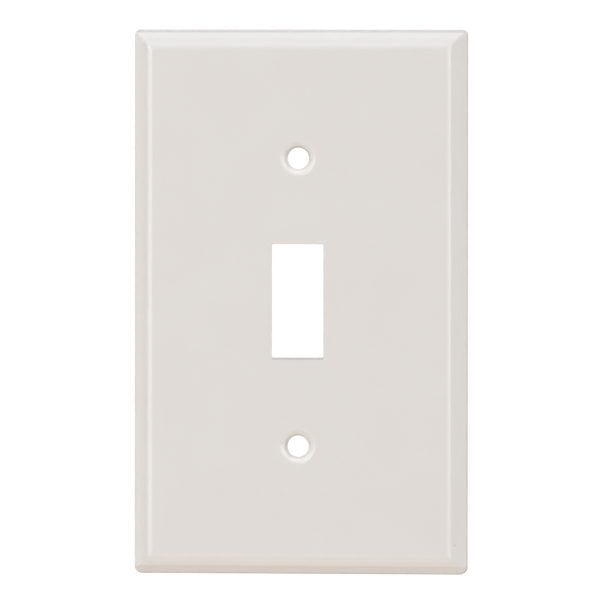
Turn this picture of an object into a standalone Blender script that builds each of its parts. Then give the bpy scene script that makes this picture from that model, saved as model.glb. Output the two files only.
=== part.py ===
"""One-gang toggle-switch wall plate, pressed from one piece of painted sheet steel.

The plate stands upright. X runs across it, Z up it, and its face looks towards -Y.
The wall is the plane Y = 0, and the origin is the plate's centre on that plane.
"""

import math

import bmesh
import bpy

MM = 0.001

# Outline and sheet
PLATE_WIDTH = 70.4 * MM
PLATE_HEIGHT = 114.3 * MM
PLATE_DEPTH = 5.6 * MM
SHEET = 0.9 * MM
CORNER_RADIUS = 1.6 * MM
CORNER_SEGMENTS = 6

# Bevelled edge, as (inset from the outline, height off the wall, bend radius) at each bend
EDGE_BENDS = (
    (0.3 * MM, 1.5 * MM, 2.0 * MM),
    (2.0 * MM, 4.2 * MM, 3.0 * MM),
    (3.45 * MM, PLATE_DEPTH, 2.3 * MM),
)
BEND_SEGMENTS = 3

# Toggle opening, in the middle of the plate
TOGGLE_WIDTH = 10.85 * MM
TOGGLE_HEIGHT = 23.8 * MM

# Screw holes: a dimple is pressed into the face, and the hole is punched through its floor
SCREW_SPACING = 60.325 * MM
HOLE_RADIUS = 2.2 * MM
LEDGE_RADIUS = 2.75 * MM
DIMPLE_RADIUS = 4.1 * MM
DIMPLE_DEPTH = 0.9 * MM
BOSS_TIP_RADIUS = 3.2 * MM
BOSS_BASE_RADIUS = 4.5 * MM
TURNED_SEGMENTS = 48

# How far a cutter reaches past the metal that it cuts
CLEARANCE = 2.0 * MM

ENAMEL_COLOUR = (0.75, 0.72, 0.69, 1.0)
ENAMEL_ROUGHNESS = 0.35
SMOOTH_ANGLE = math.radians(25)


def clear_scene():
    """Remove whatever objects the open file holds."""
    for obj in list(bpy.data.objects):
        bpy.data.objects.remove(obj)


def enamel_material():
    """Warm white enamel baked on the steel."""
    material = bpy.data.materials.new("white_enamel")
    material.use_nodes = True
    shader = material.node_tree.nodes["Principled BSDF"]
    shader.inputs["Base Color"].default_value = ENAMEL_COLOUR
    shader.inputs["Roughness"].default_value = ENAMEL_ROUGHNESS
    shader.inputs["Metallic"].default_value = 0.0
    return material


def direction(start, end):
    """Unit vector from one profile point to another."""
    length = math.dist(start, end)
    return ((end[0] - start[0]) / length, (end[1] - start[1]) / length)


def offset_corner(before, corner, after, distance):
    """Where a bend's corner lands when the profile moves inwards by a distance."""
    arriving = direction(before, corner)
    leaving = direction(corner, after)
    half_turn = (math.atan2(arriving[1], arriving[0]) - math.atan2(leaving[1], leaving[0])) / 2
    middle = math.atan2(leaving[1], leaving[0]) + half_turn
    reach = distance / math.cos(half_turn)
    return (corner[0] + reach * math.sin(middle), corner[1] - reach * math.cos(middle))


def bend_arc(before, corner, after, radius):
    """Points round one bend, from the stretch before it to the stretch after it."""
    arriving = direction(before, corner)
    leaving = direction(corner, after)
    start_angle = math.atan2(arriving[1], arriving[0])
    turn = start_angle - math.atan2(leaving[1], leaving[0])
    tangent = radius * math.tan(turn / 2)
    start = (corner[0] - arriving[0] * tangent, corner[1] - arriving[1] * tangent)
    centre = (start[0] + radius * arriving[1], start[1] - radius * arriving[0])
    points = []
    for step in range(BEND_SEGMENTS + 1):
        angle = start_angle + math.pi / 2 - turn * step / BEND_SEGMENTS
        points.append((centre[0] + radius * math.cos(angle), centre[1] + radius * math.sin(angle)))
    return points


def edge_profile(depth_offset):
    """The bevelled edge from rim to face, moved inwards by depth_offset, as (inset, height)."""
    corners = [(inset, height) for inset, height, radius in EDGE_BENDS]
    rim = (0.0, 0.0)
    face = (PLATE_WIDTH / 4, PLATE_DEPTH)
    path = [rim] + corners + [face]
    moved = [offset_corner(path[i - 1], path[i], path[i + 1], depth_offset) for i in range(1, len(path) - 1)]
    rim_lean = direction(rim, corners[0])
    rim_point = (depth_offset / rim_lean[1], 0.0)
    face_point = (face[0], face[1] - depth_offset)
    path = [rim_point] + moved + [face_point]
    points = [rim_point]
    for i, (inset, height, radius) in enumerate(EDGE_BENDS, start=1):
        points += bend_arc(path[i - 1], path[i], path[i + 1], radius - depth_offset)
    return points


def outline_loop(mesh, inset, height, radius):
    """One rounded rectangle of vertices, inset from the plate's outline."""
    half_width = PLATE_WIDTH / 2 - inset - radius
    half_height = PLATE_HEIGHT / 2 - inset - radius
    loop = []
    for quarter, (side_x, side_z) in enumerate(((1, 1), (-1, 1), (-1, -1), (1, -1))):
        for step in range(CORNER_SEGMENTS + 1):
            angle = (quarter + step / CORNER_SEGMENTS) * math.pi / 2
            x = side_x * half_width + radius * math.cos(angle)
            z = side_z * half_height + radius * math.sin(angle)
            loop.append(mesh.verts.new((x, -height, z)))
    return loop


def bridge(mesh, first, second):
    """Join two loops of equal length with a band of faces."""
    count = len(first)
    for i in range(count):
        j = (i + 1) % count
        mesh.faces.new((first[i], first[j], second[j], second[i]))


def mesh_object(name, mesh):
    """Turn a bmesh into an object whose faces point outwards."""
    bmesh.ops.recalc_face_normals(mesh, faces=mesh.faces)
    data = bpy.data.meshes.new(name)
    mesh.to_mesh(data)
    mesh.free()
    obj = bpy.data.objects.new(name, data)
    bpy.context.scene.collection.objects.link(obj)
    return obj


def closed_stack(name, mesh, loops):
    """Close a stack of loops into one solid, with a flat face at each end."""
    for first, second in zip(loops, loops[1:]):
        bridge(mesh, first, second)
    mesh.faces.new(loops[0])
    mesh.faces.new(loops[-1])
    return mesh_object(name, mesh)


def plate_shell():
    """The drawn tray: face, bevelled edge and rim, hollow behind."""
    mesh = bmesh.new()
    outside = [outline_loop(mesh, inset, height, CORNER_RADIUS) for inset, height in edge_profile(0.0)]
    inside = [outline_loop(mesh, inset, height, CORNER_RADIUS - SHEET) for inset, height in edge_profile(SHEET)]
    return closed_stack("wall_plate", mesh, outside[::-1] + inside)


def turned_solid(name, profile, centre_z):
    """A solid turned about a line along Y, from (radius, height off the wall) pairs."""
    mesh = bmesh.new()
    rings = []
    for radius, height in profile:
        ring = []
        for step in range(TURNED_SEGMENTS):
            angle = 2 * math.pi * step / TURNED_SEGMENTS
            x = radius * math.cos(angle)
            z = centre_z + radius * math.sin(angle)
            ring.append(mesh.verts.new((x, -height, z)))
        rings.append(ring)
    return closed_stack(name, mesh, rings)


def boss_solid(name, centre_z):
    """The metal that the dimple pushes out behind the face."""
    tip_height = PLATE_DEPTH - DIMPLE_DEPTH - SHEET
    profile = (
        (BOSS_BASE_RADIUS, PLATE_DEPTH - SHEET / 2),
        (BOSS_BASE_RADIUS, PLATE_DEPTH - SHEET),
        (BOSS_TIP_RADIUS, tip_height),
    )
    return turned_solid(name, profile, centre_z)


def dimple_cutter(name, centre_z):
    """The dimple, its floor, and the screw hole through it."""
    floor_height = PLATE_DEPTH - DIMPLE_DEPTH
    profile = (
        (DIMPLE_RADIUS, PLATE_DEPTH + CLEARANCE),
        (DIMPLE_RADIUS, PLATE_DEPTH),
        (LEDGE_RADIUS, floor_height),
        (HOLE_RADIUS, floor_height),
        (HOLE_RADIUS, -CLEARANCE),
    )
    return turned_solid(name, profile, centre_z)


def toggle_cutter(name):
    """The block that cuts the toggle opening."""
    mesh = bmesh.new()
    bmesh.ops.create_cube(mesh, size=1.0)
    depth = PLATE_DEPTH + 2 * CLEARANCE
    bmesh.ops.scale(mesh, verts=mesh.verts, vec=(TOGGLE_WIDTH, depth, TOGGLE_HEIGHT))
    bmesh.ops.translate(mesh, verts=mesh.verts, vec=(0.0, -PLATE_DEPTH / 2, 0.0))
    return mesh_object(name, mesh)


def apply_boolean(target, operand, operation):
    """Add or cut one solid with another, which stays in the file as a guide."""
    modifier = target.modifiers.new(operand.name, "BOOLEAN")
    modifier.operation = operation
    modifier.object = operand
    operand.hide_render = True
    operand.display_type = "WIRE"


def build_plate():
    """The whole plate: tray, bosses, dimpled screw holes and toggle opening."""
    plate = plate_shell()
    hole_centres = (("upper", SCREW_SPACING / 2), ("lower", -SCREW_SPACING / 2))
    for side, centre_z in hole_centres:
        apply_boolean(plate, boss_solid(side + "_boss", centre_z), "UNION")
    for side, centre_z in hole_centres:
        apply_boolean(plate, dimple_cutter(side + "_dimple", centre_z), "DIFFERENCE")
    apply_boolean(plate, toggle_cutter("toggle_opening"), "DIFFERENCE")
    plate.data.materials.append(enamel_material())
    plate.data.shade_smooth()
    plate.data.set_sharp_from_angle(angle=SMOOTH_ANGLE)


def main():
    clear_scene()
    build_plate()


main()
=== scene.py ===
"""Looks of a pressed steel wall plate: fine mesh, enamel and bare-steel materials, studio."""

import math

import bmesh
import bpy
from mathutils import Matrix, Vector


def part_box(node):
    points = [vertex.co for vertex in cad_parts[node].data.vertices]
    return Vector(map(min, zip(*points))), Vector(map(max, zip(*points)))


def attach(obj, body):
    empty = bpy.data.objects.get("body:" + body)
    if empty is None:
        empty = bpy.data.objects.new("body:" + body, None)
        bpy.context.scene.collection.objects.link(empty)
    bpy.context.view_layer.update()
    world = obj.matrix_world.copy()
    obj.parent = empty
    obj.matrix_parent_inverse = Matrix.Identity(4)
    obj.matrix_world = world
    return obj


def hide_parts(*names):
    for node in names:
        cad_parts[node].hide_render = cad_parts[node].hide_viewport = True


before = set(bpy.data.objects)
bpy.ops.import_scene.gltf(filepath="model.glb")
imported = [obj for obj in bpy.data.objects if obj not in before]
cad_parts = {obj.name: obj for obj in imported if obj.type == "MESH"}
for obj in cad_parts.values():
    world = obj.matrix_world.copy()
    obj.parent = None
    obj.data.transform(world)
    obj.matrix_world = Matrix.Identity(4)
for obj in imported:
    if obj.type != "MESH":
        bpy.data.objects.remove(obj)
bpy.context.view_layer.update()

MM = 0.001

# The plate as the frame gives it: the wall is the box's back, the face its front. CENTRE is on the wall.
LOW, HIGH = (Vector(corner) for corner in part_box("wall_plate"))
HALF_WIDTH = (HIGH.x - LOW.x) / 2
HALF_HEIGHT = (HIGH.z - LOW.z) / 2
DEPTH = HIGH.y - LOW.y
CENTRE = Vector(((LOW.x + HIGH.x) / 2, HIGH.y, (LOW.z + HIGH.z) / 2))

# Sheet and bevelled edge, as (inset from the outline, height off the wall, bend radius)
SHEET = 0.9 * MM
EDGE_BENDS = (
    (0.3 * MM, 1.5 * MM, 1.6 * MM),
    (1.85 * MM, 3.96 * MM, 1.2 * MM),
    (3.45 * MM, DEPTH, 2.5 * MM),
)
BEND_STEP = math.radians(2.5)
FEWEST_BEND_STEPS = 3
LONGEST_STRETCH = 0.3 * MM
# A place on the flat face, well inside the last bend, that the profile heads for
FACE_INSET = HALF_WIDTH / 2

# Outline corners, which tighten towards the face as a drawn corner does
TOP_CORNER_RADIUS = 1.2 * MM
BOTTOM_CORNER_RADIUS = 1.7 * MM
TIGHTEST_CORNER = 0.45 * MM
TIGHTEST_INSIDE_CORNER = 0.15 * MM
CORNER_SEGMENTS = 14

# A short round on each side of the sheared rim, and how near the sharp corner its middle stays
RIM_EASE = 0.12 * MM
EASE_MIDDLE = 0.25
OUTSIDE, INSIDE = 1, -1

# Painted shade along the rim, strongest at the top and right: how dark at each side, and the heights
# where it starts to fade and ends
RIM_PAINTED_SHADE = {
    "top": (0.6, 1.7 * MM, 2.3 * MM),
    "right": (0.52, 1.1 * MM, 1.5 * MM),
    "bottom": (0.1, 1.6 * MM, 2.0 * MM),
    "left": (0.1, 1.6 * MM, 2.0 * MM),
}

# The screw holes and the toggle opening were punched a little left of the middle
PUNCH_OFFSET = -0.18 * MM

# Screw holes: the face rolls into a shallow cone, and the cone rolls over into the hole
SCREW_SPACING = 60.325 * MM
HOLE_RADIUS = 2.22 * MM
DIMPLE_RADIUS = 3.98 * MM
ROLL_RADIUS = 1.2 * MM
CONE_SLOPE = math.radians(25)
THROAT_RADIUS = 1.3 * MM
THROAT_SLOPE = math.radians(78)
THROAT_DEPTH = 0.3 * MM
TIP_LENGTH = 0.15 * MM
BOSS_TIP_RADIUS = 3.0 * MM
HOLE_SEGMENTS = 96
ROLL_STEPS = 12
THROAT_STEPS = 20
# Each hole: up or down, and the direction in which its painted shade is darkest
SCREW_HOLES = ((1, math.radians(35)), (-1, math.radians(230)))

# Painted shade in the throat: how dark, the radius where it starts to fade, and the radius where it ends
THROAT_PAINTED_SHADE = 0.36
THROAT_SHADE_FULL = 2.5 * MM
THROAT_SHADE_END = 2.75 * MM

# A painted highlight: lighter enamel colour on the lower half of each dimple, where light from above
# lands, by radius. It builds up from the first radius to the second, and from the third it fades out
# again to the last. A higher power keeps it nearer the bottom.
HIGHLIGHT_EDGE = 3.5 * MM
HIGHLIGHT_FULL = 3.0 * MM
HIGHLIGHT_LIP = 2.7 * MM
HIGHLIGHT_END = 2.45 * MM
HIGHLIGHT_POWER = 1.5

# Toggle opening: the punch left its lower lip wide, and painted shade darkens that lip
TOGGLE_HALF_WIDTH = 5.42 * MM
TOGGLE_HALF_HEIGHT = 11.86 * MM
TOGGLE_LIFT = 0.31 * MM
TOGGLE_CORNER = 0.25 * MM
TOGGLE_CORNER_SEGMENTS = 6
LIP = 0.14 * MM
LOWER_LIP = 0.55 * MM
LOWER_LIP_POWER = 2
LOWER_LIP_PAINTED_SHADE = 0.5
LIP_STEPS = 6
# The opening widens at its back edge, by a share of the front lip and over this length
BACK_EDGE_SPREAD = 0.3
BACK_EDGE_LENGTH = RIM_EASE / 2

# Material slots of the plate
ENAMEL, BACK_COAT, STEEL = range(3)

# Vertex layers for painted shade at the rim and at the punched edges, 1 at full painted shade, and for
# the painted highlight low in the dimples
RIM_SHADE_LAYER = "painted_shade_at_rim"
PUNCH_SHADE_LAYER = "painted_shade_at_punch"
DIMPLE_HIGHLIGHT_LAYER = "painted_highlight_in_dimple"

# Shading normals: the large faces set them, and folds past this angle stay sharp
SHARP_ANGLE = math.radians(50)
LARGE_FACE_WEIGHT = 100

# A noise texture seldom leaves this range
USUAL_NOISE = (0.3, 0.7)

# A Mix node's sockets for colours, which have the same names as its sockets for numbers
MIX_FIRST, MIX_SECOND = 6, 7
MIX_RESULT = 2

# White enamel
ENAMEL_COLOUR = (0.776, 0.779, 0.770)
ENAMEL_WARM = (0.766, 0.765, 0.752)
CLOUD_SIZE = 14 * MM
ENAMEL_IOR = 1.6
GLOSS_SIZE = 3 * MM
GLOSS_ROUGHNESS = (0.18, 0.22)
PEEL_SIZE = 0.9 * MM
PEEL_DEPTH = 0.004 * MM
GRAIN_SIZE = 0.16 * MM
GRAIN_DEPTH = 0.0012 * MM

# Painted shade at the rim and at the punched edges, the painted highlight low in the dimples, and the
# noise that breaks the painted shade into patches
RIM_SHADE_COLOUR = (0.47, 0.445, 0.445)
PUNCH_SHADE_COLOUR = (0.43, 0.445, 0.43)
DIMPLE_HIGHLIGHT_COLOUR = (0.90, 0.90, 0.90)
SHADE_PATCH_SIZE = 1.5 * MM
SHADE_PATCH_RANGE = (0.85, 1.15)

# One speck of dirt under the enamel, low on the right bevel
SPECK_COLOUR = (0.60, 0.57, 0.54)
SPECK_PLACE = (HALF_WIDTH - 2.33 * MM, -4.45 * MM, -50.8 * MM)
SPECK_RADIUS = 0.28 * MM
SPECK_CORE = SPECK_RADIUS / 3

# Coat inside the plate
BACK_COLOUR = (0.65, 0.63, 0.61)
BACK_THIN_COLOUR = (0.59, 0.58, 0.565)
OVERSPRAY_SIZE = 11 * MM
OVERSPRAY_NOISE = (0.38, 0.62)
GRIT_COLOUR = (0.50, 0.495, 0.485)
GRIT_SIZE = 0.4 * MM
GRIT_NOISE = (0.35, 0.65)
GRIT_AMOUNT = 0.4
BACK_GLOSS_SIZE = 2 * MM
BACK_ROUGHNESS = (0.48, 0.62)
BACK_BUMP_SIZE = 0.35 * MM
BACK_BUMP_DEPTH = 0.006 * MM

# Cut steel
STEEL_DARK = (0.40, 0.395, 0.385)
STEEL_BRIGHT = (0.52, 0.515, 0.505)
STEEL_METALLIC = 0.55
STEEL_TONE_SIZE = 0.5 * MM
STEEL_GLOSS_SIZE = 0.3 * MM
STEEL_ROUGHNESS = (0.38, 0.55)
STEEL_BUMP_SIZE = 0.12 * MM
STEEL_BUMP_DEPTH = 0.006 * MM

# Floor, too far below the plate for the main view to show it
FLOOR_DROP = 0.25
FLOOR_RADIUS = 2.0
FLOOR_SEGMENTS = 96
FLOOR_COLOUR = (0.59, 0.51, 0.445)
FLOOR_MOTTLE = (0.57, 0.49, 0.425)
FLOOR_MOTTLE_SIZE = 0.08
FLOOR_ROUGHNESS = 0.9

# Camera, a long lens slightly right of the plate's normal. SENSOR is in millimetres, and FRAME_WIDTH
# is the width in metres that the picture spans at AIM.
CAMERA_DISTANCE = 2.5
CAMERA_AZIMUTH = math.radians(6.2)
CAMERA_ELEVATION = math.radians(1.3)
CAMERA_ROLL = math.radians(0.05)
SENSOR = 36.0
FRAME_WIDTH = 0.12592
AIM = Vector((-0.25 * MM, 0.0, 0.37 * MM))

# Light colours
WHITE = (1.0, 1.0, 1.0)
COOL = (0.88, 0.97, 1.0)
ROSE = (1.0, 0.92, 0.96)

# Soft lights round the plate, as (name, azimuth, elevation, distance, size, watts, colour)
LIGHTS = (
    ("left_front", -24, 14, 1.1, (0.35, 0.9), 2.20, WHITE),
    ("left_side", -43, 14, 1.1, (0.45, 0.9), 2.95, WHITE),
    ("left_far", -62, 14, 1.1, (0.35, 0.9), 0.50, WHITE),
    ("right_front", 18, 11, 1.4, (0.30, 0.9), 0.70, WHITE),
    ("right_side", 46, 11, 1.3, (0.70, 0.9), 5.00, WHITE),
    ("right_far", 80, 11, 1.3, (0.40, 0.9), 0.80, WHITE),
    ("overhead", 0, 45, 1.4, (1.2, 0.35), 0.95, WHITE),
    ("top", 0, 70, 1.4, (1.2, 0.8), 2.85, WHITE),
    ("under_card", 0, -84, 0.22, (0.30, 0.05), 0.062, COOL),
)

# The white that the camera sees behind the plate, as a strength
BACKDROP = 1.05

# What the plate sees instead: glows, as (axis, where each starts, where it is full, strength, colour)
WORLD_LOBES = (
    ("Y", -0.3, 0.3, 0.915, WHITE),
    ("Z", 0.0, 0.9, 0.34, ROSE),
)


def share_between(value, full, end):
    """1 at full and past it, 0 at end and past it, and a straight fade between them."""
    return min(1.0, max(0.0, (end - value) / (end - full)))


def direction(start, end):
    """Unit vector from one profile point to another."""
    length = math.dist(start, end)
    return ((end[0] - start[0]) / length, (end[1] - start[1]) / length)


def offset_corner(before, corner, after, distance):
    """Where a bend's corner lands when the profile moves inwards by a distance."""
    arriving = direction(before, corner)
    leaving = direction(corner, after)
    half_turn = (math.atan2(arriving[1], arriving[0]) - math.atan2(leaving[1], leaving[0])) / 2
    middle = math.atan2(leaving[1], leaving[0]) + half_turn
    reach = distance / math.cos(half_turn)
    return (corner[0] + reach * math.sin(middle), corner[1] - reach * math.cos(middle))


def bend_arc(before, corner, after, radius):
    """Points round one bend, from the stretch before it to the stretch after it."""
    arriving = direction(before, corner)
    leaving = direction(corner, after)
    start_angle = math.atan2(arriving[1], arriving[0])
    turn = start_angle - math.atan2(leaving[1], leaving[0])
    tangent = radius * math.tan(turn / 2)
    start = (corner[0] - arriving[0] * tangent, corner[1] - arriving[1] * tangent)
    centre = (start[0] + radius * arriving[1], start[1] - radius * arriving[0])
    steps = max(FEWEST_BEND_STEPS, math.ceil(turn / BEND_STEP))
    points = []
    for step in range(steps + 1):
        angle = start_angle + math.pi / 2 - turn * step / steps
        points.append((centre[0] + radius * math.cos(angle), centre[1] + radius * math.sin(angle)))
    return points


def edge_profile(offset):
    """The bevelled edge from rim to face, moved inwards by an offset, as (inset, height)."""
    rim = (0.0, 0.0)
    face = (FACE_INSET, DEPTH)
    corners = [(inset, height) for inset, height, radius in EDGE_BENDS]
    path = [rim, *corners, face]
    rim_rise = direction(rim, corners[0])[1]
    moved = [(offset / rim_rise, 0.0)]
    for before, corner, after in zip(path, path[1:], path[2:]):
        moved.append(offset_corner(before, corner, after, offset))
    moved.append((face[0], face[1] - offset))
    points = [moved[0]]
    for before, corner, after, (inset, height, radius) in zip(moved, moved[1:], moved[2:], EDGE_BENDS):
        points += bend_arc(before, corner, after, radius - offset)
    return points


def split_stretches(profile):
    """Cut the profile's long straight stretches into short ones."""
    points = [profile[0]]
    for start, end in zip(profile, profile[1:]):
        pieces = max(1, math.ceil(math.dist(start, end) / LONGEST_STRETCH))
        for piece in range(1, pieces + 1):
            share = piece / pieces
            inset = start[0] + (end[0] - start[0]) * share
            height = start[1] + (end[1] - start[1]) * share
            points.append((inset, height))
    return points


def ease_rim(profile, side):
    """Replace the rim's sharp corner by a short round, on the OUTSIDE or the INSIDE of the sheet."""
    inset, height = profile[0]
    rise = direction(profile[0], profile[1])
    start = (inset + side * RIM_EASE, 0.0)
    middle = (inset + side * RIM_EASE * EASE_MIDDLE, RIM_EASE * EASE_MIDDLE)
    end = (inset + rise[0] * RIM_EASE, rise[1] * RIM_EASE)
    return [start, middle, end] + profile[1:]


def rounded_rectangle(half_width, half_height, top_radius, bottom_radius, segments):
    """Points round a rectangle, as (x, z, outward x, outward z) from its centre."""
    points = []
    for quarter, (side_x, side_z) in enumerate(((1, 1), (-1, 1), (-1, -1), (1, -1))):
        radius = top_radius if side_z > 0 else bottom_radius
        for step in range(segments + 1):
            angle = (quarter + step / segments) * math.pi / 2
            out_x, out_z = math.cos(angle), math.sin(angle)
            x = side_x * (half_width - radius) + radius * out_x
            z = side_z * (half_height - radius) + radius * out_z
            points.append((x, z, out_x, out_z))
    return points


def outline_loop(mesh, inset, height, tightest):
    """One loop of vertices round the plate, inset from its outline."""
    top_radius = max(tightest, TOP_CORNER_RADIUS - inset)
    bottom_radius = max(tightest, BOTTOM_CORNER_RADIUS - inset)
    outline = rounded_rectangle(
        HALF_WIDTH - inset, HALF_HEIGHT - inset, top_radius, bottom_radius, CORNER_SEGMENTS
    )
    y = CENTRE.y - height
    return [mesh.verts.new((CENTRE.x + x, y, CENTRE.z + z)) for x, z, out_x, out_z in outline]


def band(mesh, first, second, slot):
    """Join two loops of equal length with a band of faces in one material slot."""
    count = len(first)
    for i in range(count):
        j = (i + 1) % count
        face = mesh.faces.new((first[i], first[j], second[j], second[i]))
        face.material_index = slot
        face.smooth = True


def stack(mesh, loops, slot):
    """Join a stack of loops with bands, all in one material slot."""
    for first, second in zip(loops, loops[1:]):
        band(mesh, first, second, slot)


def fill_flat(mesh, loops, slot):
    """Fill the flat sheet between an outer loop and the openings in it."""
    edges = []
    for loop in loops:
        for i, vertex in enumerate(loop):
            edges.append(mesh.edges.get((vertex, loop[(i + 1) % len(loop)])))
    made = bmesh.ops.triangle_fill(mesh, edges=edges, use_beauty=True, use_dissolve=False)
    for item in made["geom"]:
        if isinstance(item, bmesh.types.BMFace):
            item.material_index = slot
            item.smooth = True


def rim_painted_shade(place, height):
    """How much painted shade darkens the enamel at this place on the edge, by the side that it is
    nearest to.
    """
    gaps = {
        "top": CENTRE.z + HALF_HEIGHT - place.z,
        "bottom": place.z - CENTRE.z + HALF_HEIGHT,
        "right": CENTRE.x + HALF_WIDTH - place.x,
        "left": place.x - CENTRE.x + HALF_WIDTH,
    }
    amount, full, end = RIM_PAINTED_SHADE[min(gaps, key=gaps.get)]
    return amount * share_between(height, full, end)


def build_edge(mesh):
    """The bevelled edge: enamel outside, thin coat inside and bare steel between them at the rim."""
    outside_profile = ease_rim(split_stretches(edge_profile(0.0)), OUTSIDE)
    inside_profile = ease_rim(edge_profile(SHEET), INSIDE)
    outside = [outline_loop(mesh, *point, TIGHTEST_CORNER) for point in outside_profile]
    inside = [outline_loop(mesh, *point, TIGHTEST_INSIDE_CORNER) for point in inside_profile]
    stack(mesh, outside, ENAMEL)
    stack(mesh, inside, BACK_COAT)
    band(mesh, outside[0], inside[0], STEEL)
    # Painted shade along the rim, darker on the top and right
    layer = mesh.verts.layers.float[RIM_SHADE_LAYER]
    for loop, (inset, height) in zip(outside, outside_profile):
        for vertex in loop:
            vertex[layer] = rim_painted_shade(vertex.co, height)
    return outside[-1], inside[-1]


def mouth_front():
    """Front half section of a screw hole, as (radius, height off the wall), from face to throat."""
    points = []
    for step in range(ROLL_STEPS + 1):
        angle = CONE_SLOPE * step / ROLL_STEPS
        radius = DIMPLE_RADIUS - ROLL_RADIUS * math.sin(angle)
        points.append((radius, DEPTH - ROLL_RADIUS * (1 - math.cos(angle))))
    cone_top, height = points[-1]
    throat_top = HOLE_RADIUS + THROAT_DEPTH / math.tan(THROAT_SLOPE)
    cone_foot = throat_top + THROAT_RADIUS * (math.sin(THROAT_SLOPE) - math.sin(CONE_SLOPE))
    height -= (cone_top - cone_foot) * math.tan(CONE_SLOPE)
    for step in range(THROAT_STEPS + 1):
        angle = CONE_SLOPE + (THROAT_SLOPE - CONE_SLOPE) * step / THROAT_STEPS
        radius = throat_top + THROAT_RADIUS * (math.sin(THROAT_SLOPE) - math.sin(angle))
        points.append((radius, height - THROAT_RADIUS * (math.cos(CONE_SLOPE) - math.cos(angle))))
    points.append((HOLE_RADIUS, points[-1][1] - THROAT_DEPTH))
    return points


def mouth_back(throat_height):
    """Back half section of a screw hole, from the boss's tip to the flat back of the face."""
    tip_height = throat_height - TIP_LENGTH
    roll_centre = DEPTH - ROLL_RADIUS
    inner = ROLL_RADIUS - SHEET
    points = [(HOLE_RADIUS, tip_height), (BOSS_TIP_RADIUS, tip_height)]
    for step in range(ROLL_STEPS, -1, -1):
        angle = CONE_SLOPE * step / ROLL_STEPS
        radius = DIMPLE_RADIUS - inner * math.sin(angle)
        points.append((radius, roll_centre + inner * math.cos(angle)))
    return points


def hole_ring(mesh, centre_z, radius, height):
    """One ring of vertices round a screw hole."""
    ring = []
    for step in range(HOLE_SEGMENTS):
        angle = 2 * math.pi * step / HOLE_SEGMENTS
        x = CENTRE.x + PUNCH_OFFSET + radius * math.cos(angle)
        z = centre_z + radius * math.sin(angle)
        ring.append(mesh.verts.new((x, CENTRE.y - height, z)))
    return ring


def paint_mouth_shade_and_highlight(mesh, rings, mouth, darkest_towards):
    """Painted shade in a screw hole's throat, darkest towards one side, and a painted highlight low in
    its dimple.
    """
    punch_shade_layer = mesh.verts.layers.float[PUNCH_SHADE_LAYER]
    highlight_layer = mesh.verts.layers.float[DIMPLE_HIGHLIGHT_LAYER]
    for ring, (radius, height) in zip(rings, mouth):
        throat = share_between(radius, THROAT_SHADE_FULL, THROAT_SHADE_END)
        highlight = share_between(radius, HIGHLIGHT_FULL, HIGHLIGHT_EDGE) * share_between(radius, HIGHLIGHT_LIP, HIGHLIGHT_END)
        for step, vertex in enumerate(ring):
            angle = 2 * math.pi * step / HOLE_SEGMENTS
            facing = (1 + math.cos(angle - darkest_towards)) / 2
            # Painted shade in the throat, darkest towards one side
            vertex[punch_shade_layer] = THROAT_PAINTED_SHADE * facing * throat
            # Painted highlight on the lower half of the dimple
            vertex[highlight_layer] = max(0.0, -math.sin(angle)) ** HIGHLIGHT_POWER * highlight


def build_screw_hole(mesh, side, darkest_towards):
    """One dimpled screw hole, above or below the toggle opening."""
    front = mouth_front()
    mouth = front + mouth_back(front[-1][1])
    centre_z = CENTRE.z + side * SCREW_SPACING / 2
    rings = [hole_ring(mesh, centre_z, radius, height) for radius, height in mouth]
    # The cut wall past the throat and the flat tip of the boss are bare
    throat = len(front) - 1
    boss_edge = throat + 2
    stack(mesh, rings[:throat + 1], ENAMEL)
    stack(mesh, rings[throat:boss_edge + 1], STEEL)
    stack(mesh, rings[boss_edge:], BACK_COAT)
    paint_mouth_shade_and_highlight(mesh, rings, front, darkest_towards)
    return rings[0], rings[-1]


def toggle_outline():
    """Points round the toggle opening."""
    return rounded_rectangle(
        TOGGLE_HALF_WIDTH, TOGGLE_HALF_HEIGHT, TOGGLE_CORNER, TOGGLE_CORNER, TOGGLE_CORNER_SEGMENTS
    )


def lower_share(out_z):
    """1 along the bottom of the opening, fading round its lower corners to 0 up its sides."""
    return max(0.0, -out_z) ** LOWER_LIP_POWER


def toggle_ring(mesh, spread, depth):
    """One ring of the toggle opening: spread is a share of the lip there, depth is from the face."""
    ring = []
    for x, z, out_x, out_z in toggle_outline():
        lip = LIP + (LOWER_LIP - LIP) * lower_share(out_z)
        ring_x = CENTRE.x + PUNCH_OFFSET + x + out_x * lip * spread
        ring_z = CENTRE.z + TOGGLE_LIFT + z + out_z * lip * spread
        ring.append(mesh.verts.new((ring_x, CENTRE.y - DEPTH + depth, ring_z)))
    return ring


def build_toggle_opening(mesh):
    """The toggle opening: a rolled front lip, a straight wall and a back edge, all enamelled."""
    rings = []
    for step in range(LIP_STEPS + 1):
        angle = math.pi / 2 * step / LIP_STEPS
        rings.append(toggle_ring(mesh, 1 - math.sin(angle), LIP * (1 - math.cos(angle))))
    rings.append(toggle_ring(mesh, 0.0, SHEET - BACK_EDGE_LENGTH))
    rings.append(toggle_ring(mesh, BACK_EDGE_SPREAD, SHEET))
    stack(mesh, rings, ENAMEL)
    layer = mesh.verts.layers.float[PUNCH_SHADE_LAYER]
    # Painted shade on the lower lip, fading up the sides
    for ring in rings[1:LIP_STEPS + 1]:
        for vertex, (x, z, out_x, out_z) in zip(ring, toggle_outline()):
            vertex[layer] = LOWER_LIP_PAINTED_SHADE * lower_share(out_z)
    return rings[0], rings[-1]


def mesh_object(mesh, name):
    """Turn a finished bmesh into an object in the scene."""
    data = bpy.data.meshes.new(name)
    mesh.to_mesh(data)
    mesh.free()
    obj = bpy.data.objects.new(name, data)
    bpy.context.scene.collection.objects.link(obj)
    return obj


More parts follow.
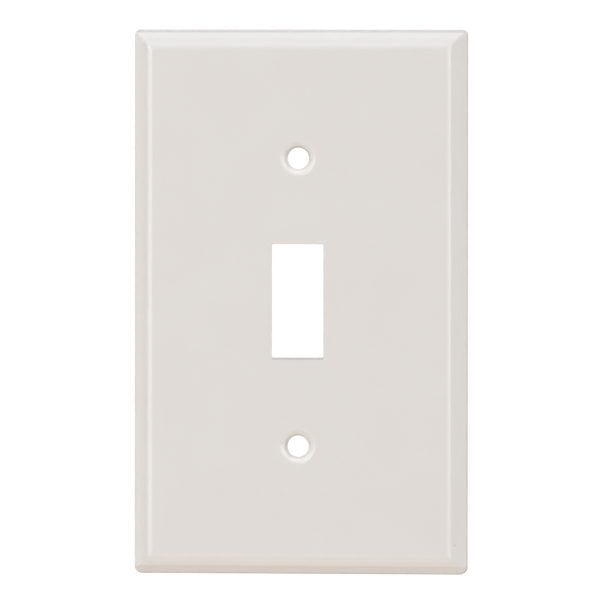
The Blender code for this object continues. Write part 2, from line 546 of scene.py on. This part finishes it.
class Nodes:
    """Short calls for building one material's node tree."""

    def __init__(self, name):
        """Start a material of this name, shaded by a Principled BSDF."""
        self.material = bpy.data.materials.new(name)
        self.material.use_nodes = True
        self.tree = self.material.node_tree
        self.shader = self.tree.nodes["Principled BSDF"]
        coordinates = self.tree.nodes.new("ShaderNodeTexCoord")
        self.place = coordinates.outputs["Object"]

    def link(self, output, socket):
        """Join a node's output to a socket."""
        self.tree.links.new(output, socket)

    def feed(self, value, socket):
        """Give a socket a number, a colour or another node's output."""
        if isinstance(value, bpy.types.NodeSocket):
            self.link(value, socket)
        elif isinstance(value, tuple):
            socket.default_value = (*value, 1.0)
        else:
            socket.default_value = value

    def noise(self, size, detail, roughness=0.5):
        """Noise whose features are about size metres across."""
        node = self.tree.nodes.new("ShaderNodeTexNoise")
        node.inputs["Scale"].default_value = 1.0 / size
        node.inputs["Detail"].default_value = detail
        node.inputs["Roughness"].default_value = roughness
        self.link(self.place, node.inputs["Vector"])
        return node.outputs["Fac"]

    def remap(self, value, source, target=(0.0, 1.0)):
        """Move values in one range to another range, and hold those outside at its ends."""
        node = self.tree.nodes.new("ShaderNodeMapRange")
        node.inputs["From Min"].default_value, node.inputs["From Max"].default_value = source
        node.inputs["To Min"].default_value, node.inputs["To Max"].default_value = target
        self.link(value, node.inputs["Value"])
        return node.outputs["Result"]

    def mix(self, factor, first, second):
        """Mix two colours, each a tuple or an output."""
        node = self.tree.nodes.new("ShaderNodeMix")
        node.data_type = "RGBA"
        self.link(factor, node.inputs["Factor"])
        self.feed(first, node.inputs[MIX_FIRST])
        self.feed(second, node.inputs[MIX_SECOND])
        return node.outputs[MIX_RESULT]

    def product(self, first, second):
        """Multiply two values, each a number or an output."""
        node = self.tree.nodes.new("ShaderNodeMath")
        node.operation = "MULTIPLY"
        self.feed(first, node.inputs[0])
        self.feed(second, node.inputs[1])
        return node.outputs["Value"]

    def attribute(self, name):
        """The value of one of the mesh's vertex layers."""
        node = self.tree.nodes.new("ShaderNodeAttribute")
        node.attribute_name = name
        return node.outputs["Fac"]

    def spot(self, centre, radius, core):
        """1 within core of a place on the object, fading to 0 at radius from it."""
        node = self.tree.nodes.new("ShaderNodeVectorMath")
        node.operation = "DISTANCE"
        self.link(self.place, node.inputs[0])
        node.inputs[1].default_value = centre
        return self.remap(node.outputs["Value"], (radius, core))

    def bump(self, height, depth, below=None):
        """Raise the surface by depth metres where height is 1, on top of the bump below."""
        node = self.tree.nodes.new("ShaderNodeBump")
        node.inputs["Distance"].default_value = depth
        self.link(height, node.inputs["Height"])
        if below is not None:
            self.link(below, node.inputs["Normal"])
        return node.outputs["Normal"]

    def finish(self, colour, roughness, normal=None):
        """Give the shader its colour, roughness and any bumps, and hand the material over."""
        self.feed(colour, self.shader.inputs["Base Color"])
        self.feed(roughness, self.shader.inputs["Roughness"])
        if normal is not None:
            self.link(normal, self.shader.inputs["Normal"])
        return self.material


def enamel_material():
    """Semi-gloss warm white enamel with a fine orange peel, painted shade at the rim and punched edges,
    and a painted highlight low in the dimples.
    """
    m = Nodes("white_enamel")
    clouds = m.remap(m.noise(CLOUD_SIZE, detail=3.0), USUAL_NOISE)
    shade_patches = m.remap(m.noise(SHADE_PATCH_SIZE, detail=2.0), USUAL_NOISE, SHADE_PATCH_RANGE)
    colour = m.mix(clouds, ENAMEL_COLOUR, ENAMEL_WARM)
    # Painted highlight low in the dimples
    colour = m.mix(m.attribute(DIMPLE_HIGHLIGHT_LAYER), colour, DIMPLE_HIGHLIGHT_COLOUR)
    colour = m.mix(m.spot(SPECK_PLACE, SPECK_RADIUS, SPECK_CORE), colour, SPECK_COLOUR)
    # Painted shade at the rim and at the punched edges, broken into patches
    for layer, shade_colour in ((RIM_SHADE_LAYER, RIM_SHADE_COLOUR), (PUNCH_SHADE_LAYER, PUNCH_SHADE_COLOUR)):
        colour = m.mix(m.product(m.attribute(layer), shade_patches), colour, shade_colour)
    gloss = m.remap(m.noise(GLOSS_SIZE, detail=4.0), USUAL_NOISE, GLOSS_ROUGHNESS)
    peel = m.bump(m.noise(PEEL_SIZE, detail=1.5), PEEL_DEPTH)
    grain = m.bump(m.noise(GRAIN_SIZE, detail=2.0), GRAIN_DEPTH, below=peel)
    m.shader.inputs["IOR"].default_value = ENAMEL_IOR
    return m.finish(colour, gloss, grain)


def back_coat_material():
    """The thinner, duller coat inside, where the grey steel shows through in patches."""
    m = Nodes("back_coat")
    overspray = m.remap(m.noise(OVERSPRAY_SIZE, detail=5.0, roughness=0.6), OVERSPRAY_NOISE)
    grit = m.remap(m.noise(GRIT_SIZE, detail=4.0, roughness=0.7), GRIT_NOISE)
    colour = m.mix(overspray, BACK_COLOUR, BACK_THIN_COLOUR)
    colour = m.mix(m.product(grit, GRIT_AMOUNT), colour, GRIT_COLOUR)
    dullness = m.remap(m.noise(BACK_GLOSS_SIZE, detail=4.0), USUAL_NOISE, BACK_ROUGHNESS)
    texture = m.bump(m.noise(BACK_BUMP_SIZE, detail=4.0, roughness=0.6), BACK_BUMP_DEPTH)
    return m.finish(colour, dullness, texture)


def cut_steel_material():
    """Bare sheared steel on the cut edges, mottled and finely pitted."""
    m = Nodes("cut_steel")
    tone = m.remap(m.noise(STEEL_TONE_SIZE, detail=4.0), USUAL_NOISE)
    dullness = m.remap(m.noise(STEEL_GLOSS_SIZE, detail=3.0), USUAL_NOISE, STEEL_ROUGHNESS)
    pits = m.bump(m.noise(STEEL_BUMP_SIZE, detail=3.0), STEEL_BUMP_DEPTH)
    m.shader.inputs["Metallic"].default_value = STEEL_METALLIC
    return m.finish(m.mix(tone, STEEL_DARK, STEEL_BRIGHT), dullness, pits)


def floor_material():
    """Matt beige paper, faintly mottled."""
    m = Nodes("floor_paper")
    mottle = m.remap(m.noise(FLOOR_MOTTLE_SIZE, detail=3.0), USUAL_NOISE)
    return m.finish(m.mix(mottle, FLOOR_COLOUR, FLOOR_MOTTLE), FLOOR_ROUGHNESS)


def build_plate_mesh():
    """The whole plate as one closed mesh: bevelled edge, screw holes and toggle opening."""
    mesh = bmesh.new()
    for layer in (RIM_SHADE_LAYER, PUNCH_SHADE_LAYER, DIMPLE_HIGHLIGHT_LAYER):
        mesh.verts.layers.float.new(layer)
    # Each of these hands over the two loops where it meets the flat sheet, in front and behind
    loops = [build_edge(mesh)]
    for side, darkest_towards in SCREW_HOLES:
        loops.append(build_screw_hole(mesh, side, darkest_towards))
    loops.append(build_toggle_opening(mesh))
    fill_flat(mesh, [front for front, back in loops], ENAMEL)
    fill_flat(mesh, [back for front, back in loops], BACK_COAT)
    bmesh.ops.recalc_face_normals(mesh, faces=mesh.faces)
    return mesh


def build_plate():
    """The visible plate, in place of the CAD solid."""
    plate = mesh_object(build_plate_mesh(), "pressed_plate")
    for material in (enamel_material(), back_coat_material(), cut_steel_material()):
        plate.data.materials.append(material)
    plate.data.set_sharp_from_angle(angle=SHARP_ANGLE)
    normals = plate.modifiers.new("even_normals", "WEIGHTED_NORMAL")
    normals.mode = "FACE_AREA"
    normals.weight = LARGE_FACE_WEIGHT
    normals.keep_sharp = True
    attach(plate, "root")
    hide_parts("wall_plate")


def build_floor():
    """A round paper floor."""
    mesh = bmesh.new()
    bmesh.ops.create_circle(mesh, cap_ends=True, segments=FLOOR_SEGMENTS, radius=FLOOR_RADIUS)
    floor = mesh_object(mesh, "floor")
    floor.location = (0.0, 0.0, CENTRE.z - FLOOR_DROP)
    floor.data.materials.append(floor_material())


def bearing(azimuth, elevation):
    """Unit vector away from the plate: azimuth 0 is straight in front, positive to the right."""
    level = math.cos(elevation)
    return Vector((math.sin(azimuth) * level, -math.cos(azimuth) * level, math.sin(elevation)))


def area_light(name, place, size, power, colour):
    """A soft rectangular light aimed at the plate, which the camera doesn't see."""
    light = bpy.data.lights.new(name, "AREA")
    light.shape = "RECTANGLE"
    light.size, light.size_y = size
    light.energy = power
    light.color = colour
    obj = bpy.data.objects.new(name, light)
    obj.location = place
    obj.rotation_euler = (CENTRE - place).to_track_quat("-Z", "Y").to_euler()
    obj.visible_camera = False
    bpy.context.scene.collection.objects.link(obj)


def build_lights():
    """Tall strips left and right, two lights above, and a dim card just below the plate."""
    for name, azimuth, elevation, distance, size, power, colour in LIGHTS:
        place = bearing(math.radians(azimuth), math.radians(elevation)) * distance
        area_light(name, place, size, power, colour)


def world_lobe(tree, place, start, full, strength, colour):
    """A glow that grows smoothly along one of the world's axes."""
    ramp = tree.nodes.new("ShaderNodeMapRange")
    ramp.interpolation_type = "SMOOTHSTEP"
    ramp.inputs["From Min"].default_value = start
    ramp.inputs["From Max"].default_value = full
    ramp.inputs["To Max"].default_value = strength
    tree.links.new(place, ramp.inputs["Value"])
    lobe = tree.nodes.new("ShaderNodeBackground")
    lobe.inputs["Color"].default_value = (*colour, 1.0)
    tree.links.new(ramp.outputs["Result"], lobe.inputs["Strength"])
    return lobe.outputs["Background"]


def studio_shader(tree):
    """The world as the plate sees it: the sum of the lobes."""
    coordinates = tree.nodes.new("ShaderNodeTexCoord")
    axes = tree.nodes.new("ShaderNodeSeparateXYZ")
    tree.links.new(coordinates.outputs["Generated"], axes.inputs["Vector"])
    total = tree.nodes.new("ShaderNodeAddShader")
    for socket, (axis, *glow) in zip(total.inputs, WORLD_LOBES, strict=True):
        tree.links.new(world_lobe(tree, axes.outputs[axis], *glow), socket)
    return total.outputs["Shader"]


def build_world():
    """White to the camera, and a soft studio to the plate."""
    world = bpy.data.worlds.new("studio")
    bpy.context.scene.world = world
    world.use_nodes = True
    tree = world.node_tree
    backdrop = tree.nodes["Background"]
    backdrop.inputs["Color"].default_value = (*WHITE, 1.0)
    backdrop.inputs["Strength"].default_value = BACKDROP
    path = tree.nodes.new("ShaderNodeLightPath")
    choose = tree.nodes.new("ShaderNodeMixShader")
    tree.links.new(path.outputs["Is Camera Ray"], choose.inputs["Fac"])
    tree.links.new(studio_shader(tree), choose.inputs[1])
    tree.links.new(backdrop.outputs["Background"], choose.inputs[2])
    tree.links.new(choose.outputs["Shader"], tree.nodes["World Output"].inputs["Surface"])


def build_camera():
    """A long lens, a few degrees right of the plate's normal."""
    data = bpy.data.cameras.new("camera")
    data.sensor_width = SENSOR
    data.lens = SENSOR * CAMERA_DISTANCE / FRAME_WIDTH
    camera = bpy.data.objects.new("camera", data)
    back = bearing(CAMERA_AZIMUTH, CAMERA_ELEVATION)
    camera.location = AIM + back * CAMERA_DISTANCE
    camera.rotation_euler = (-back).to_track_quat("-Z", "Y").to_euler()
    camera.rotation_euler.rotate_axis("Z", CAMERA_ROLL)
    bpy.context.scene.collection.objects.link(camera)
    bpy.context.scene.camera = camera


build_plate()
build_floor()
build_lights()
build_world()
build_camera()
bpy.context.scene.view_settings.view_transform = "Standard"
